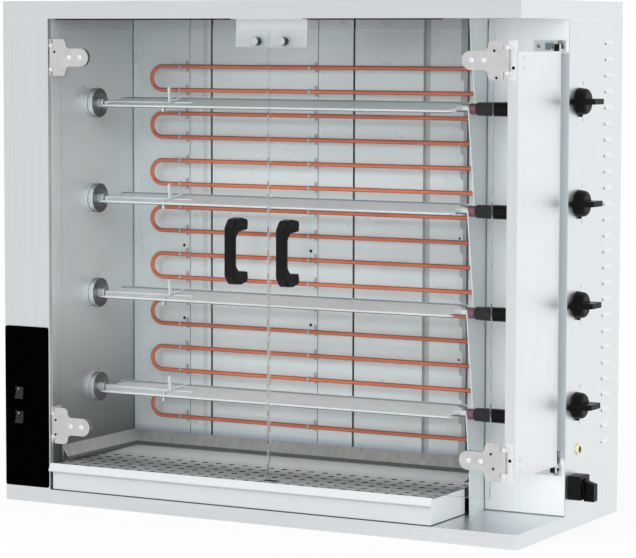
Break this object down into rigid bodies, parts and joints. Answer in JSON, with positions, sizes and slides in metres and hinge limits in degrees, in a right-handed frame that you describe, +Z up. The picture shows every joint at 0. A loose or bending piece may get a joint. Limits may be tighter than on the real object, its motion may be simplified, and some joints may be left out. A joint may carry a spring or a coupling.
{
  "type": "chicken rotisserie machine",
  "caption": "Electric rotisserie cabinet with glass doors, driven spits, wall heating elements, a swinging door post, side controls and a sliding drip tray.",
  "frame": {"origin": "centre of the whole object's outline, on the floor plane under the base", "axes": "+X to the right as seen from the front, along the spits; +Y to the back, away from the glass doors; +Z up"},
  "size_m": [1.178, 0.54, 1],
  "materials": {
    "cabinet_steel": "fine brushed stainless steel sheet, satin",
    "chamber_steel": "bright stainless reflector sheet, slightly heat dulled",
    "skirt_steel": "grey-green dulled stainless sheet",
    "post_steel": "fine brushed stainless steel sheet, satin",
    "element_sheath": "matt orange-red heated sheath",
    "clip_steel": "plain zinc-grey clips and strip",
    "spit_steel": "polished stainless steel",
    "socket_steel": "turned and polished steel",
    "bush_copper": "smooth copper-coloured bearing bush",
    "grip_black": "matt black heat-resistant plastic",
    "fascia_black": "fine-textured black plastic",
    "rocker_black": "glossy black plastic",
    "knob_black": "matt black plastic",
    "lamp_amber": "amber lens in a pale ring",
    "door_glass": "clear toughened glass with polished edges",
    "hinge_grey": "satin die-cast hinge plates",
    "pin_steel": "plain steel leaves and pins",
    "magnet_steel": "bright plated pot magnet",
    "tray_steel": "satin stainless tray",
    "insert_steel": "perforated stainless insert",
    "motor_grey": "plain grey gear motor case",
    "terminal_steel": "steel ferrules with ceramic beads",
    "gland_black": "black plastic cable gland"
  },
  "bodies": {
    "cabinet": {"base_pan": "cabinet_steel", "left_casing": "cabinet_steel", "left_cavity_wall": "chamber_steel", "hood": "cabinet_steel", "cavity_ceiling": "chamber_steel", "back_reflectors": "chamber_steel", "rear_cover": "cabinet_steel", "right_side_panel": "cabinet_steel", "right_front_panel": "cabinet_steel", "spit_rack_plate": "chamber_steel", "grease_skirts": "skirt_steel", "heating_element_1": "element_sheath", "heating_element_2": "element_sheath", "heating_element_3": "element_sheath", "heating_element_4": "element_sheath", "element_supports": "clip_steel", "element_terminals": "terminal_steel", "control_fascia": "fascia_black", "gear_motors": "motor_grey", "socket_bearings": "socket_steel", "switch_bodies": "knob_black", "pilot_lamp": "lamp_amber", "catch_bracket": "cabinet_steel", "catch_magnets": "magnet_steel", "left_hinge_leaves": "pin_steel", "post_pivots": "pin_steel", "cable_gland": "gland_black"},
    "left_door": {"left_glass": "door_glass", "left_hinge_arms": "hinge_grey", "left_door_handle": "grip_black"},
    "door_post": {"door_post": "post_steel", "right_hinge_leaves": "pin_steel"},
    "right_door": {"right_glass": "door_glass", "right_hinge_arms": "hinge_grey", "right_door_handle": "grip_black"},
    "drip_tray": {"drip_tray": "tray_steel", "tray_insert": "insert_steel"},
    "upper_rocker": {"rocker_upper": "rocker_black"},
    "lower_rocker": {"rocker_lower": "rocker_black"},
    "main_switch": {"main_switch_knob": "knob_black"},
    "drive_socket_1": {"drive_socket_1": "socket_steel"},
    "spit_1": {"spit_blade_1": "spit_steel", "spit_bush_1": "bush_copper", "spit_handle_1": "grip_black"},
    "knob_1": {"knob_1": "knob_black"},
    "drive_socket_2": {"drive_socket_2": "socket_steel"},
    "spit_2": {"spit_blade_2": "spit_steel", "spit_bush_2": "bush_copper", "spit_handle_2": "grip_black"},
    "knob_2": {"knob_2": "knob_black"},
    "drive_socket_3": {"drive_socket_3": "socket_steel"},
    "spit_3": {"spit_blade_3": "spit_steel", "spit_bush_3": "bush_copper", "spit_handle_3": "grip_black"},
    "knob_3": {"knob_3": "knob_black"},
    "drive_socket_4": {"drive_socket_4": "socket_steel"},
    "spit_4": {"spit_blade_4": "spit_steel", "spit_bush_4": "bush_copper", "spit_handle_4": "grip_black"},
    "knob_4": {"knob_4": "knob_black"}
  },
  "joints": [
    {"name": "left_door_hinge", "type": "hinge", "parent": "cabinet", "child": "left_door", "pos_m": [-0.4762, -0.214, 0.5235], "axis": [0, 0, -1], "range_deg": [0, 110]},
    {"name": "door_post_pivot", "type": "hinge", "parent": "cabinet", "child": "door_post", "pos_m": [0.5225, -0.015, 0.516], "axis": [0, 0, 1], "range_deg": [0, 90]},
    {"name": "right_door_hinge", "type": "hinge", "parent": "door_post", "child": "right_door", "pos_m": [0.511, -0.214, 0.5235], "axis": [0, 0, 1], "range_deg": [0, 110]},
    {"name": "tray_slide", "type": "slide", "parent": "cabinet", "child": "drip_tray", "axis": [0, -1, 0], "range_m": [0, 0.26]},
    {"name": "spit_1_drive", "type": "hinge", "parent": "cabinet", "child": "drive_socket_1", "pos_m": [-0.464, -0.067, 0.797], "axis": [1, 0, 0], "continuous": true},
    {"name": "spit_1_unplug", "type": "slide", "parent": "drive_socket_1", "child": "spit_1", "axis": [1, 0, 0], "range_m": [0, 0.014]},
    {"name": "spit_2_drive", "type": "hinge", "parent": "cabinet", "child": "drive_socket_2", "pos_m": [-0.464, -0.067, 0.605], "axis": [1, 0, 0], "continuous": true},
    {"name": "spit_2_unplug", "type": "slide", "parent": "drive_socket_2", "child": "spit_2", "axis": [1, 0, 0], "range_m": [0, 0.014]},
    {"name": "spit_3_drive", "type": "hinge", "parent": "cabinet", "child": "drive_socket_3", "pos_m": [-0.464, -0.067, 0.413], "axis": [1, 0, 0], "continuous": true},
    {"name": "spit_3_unplug", "type": "slide", "parent": "drive_socket_3", "child": "spit_3", "axis": [1, 0, 0], "range_m": [0, 0.014]},
    {"name": "spit_4_drive", "type": "hinge", "parent": "cabinet", "child": "drive_socket_4", "pos_m": [-0.464, -0.067, 0.221], "axis": [1, 0, 0], "continuous": true},
    {"name": "spit_4_unplug", "type": "slide", "parent": "drive_socket_4", "child": "spit_4", "axis": [1, 0, 0], "range_m": [0, 0.014]},
    {"name": "knob_1_turn", "type": "hinge", "parent": "cabinet", "child": "knob_1", "pos_m": [0.551, 0.048, 0.811], "axis": [1, 0, 0], "range_deg": [0, 270]},
    {"name": "knob_2_turn", "type": "hinge", "parent": "cabinet", "child": "knob_2", "pos_m": [0.551, 0.048, 0.619], "axis": [1, 0, 0], "range_deg": [0, 270]},
    {"name": "knob_3_turn", "type": "hinge", "parent": "cabinet", "child": "knob_3", "pos_m": [0.551, 0.048, 0.427], "axis": [1, 0, 0], "range_deg": [0, 270]},
    {"name": "knob_4_turn", "type": "hinge", "parent": "cabinet", "child": "knob_4", "pos_m": [0.551, 0.048, 0.235], "axis": [1, 0, 0], "range_deg": [0, 270]},
    {"name": "main_switch_turn", "type": "hinge", "parent": "cabinet", "child": "main_switch", "pos_m": [0.571, 0.033, 0.082], "axis": [1, 0, 0], "range_deg": [0, 90]},
    {"name": "upper_rocker_tilt", "type": "hinge", "parent": "cabinet", "child": "upper_rocker", "pos_m": [-0.5515, -0.213, 0.2175], "axis": [1, 0, 0], "range_deg": [0, 16]},
    {"name": "lower_rocker_tilt", "type": "hinge", "parent": "cabinet", "child": "lower_rocker", "pos_m": [-0.5515, -0.213, 0.1685], "axis": [1, 0, 0], "range_deg": [0, 16]}
  ]
}
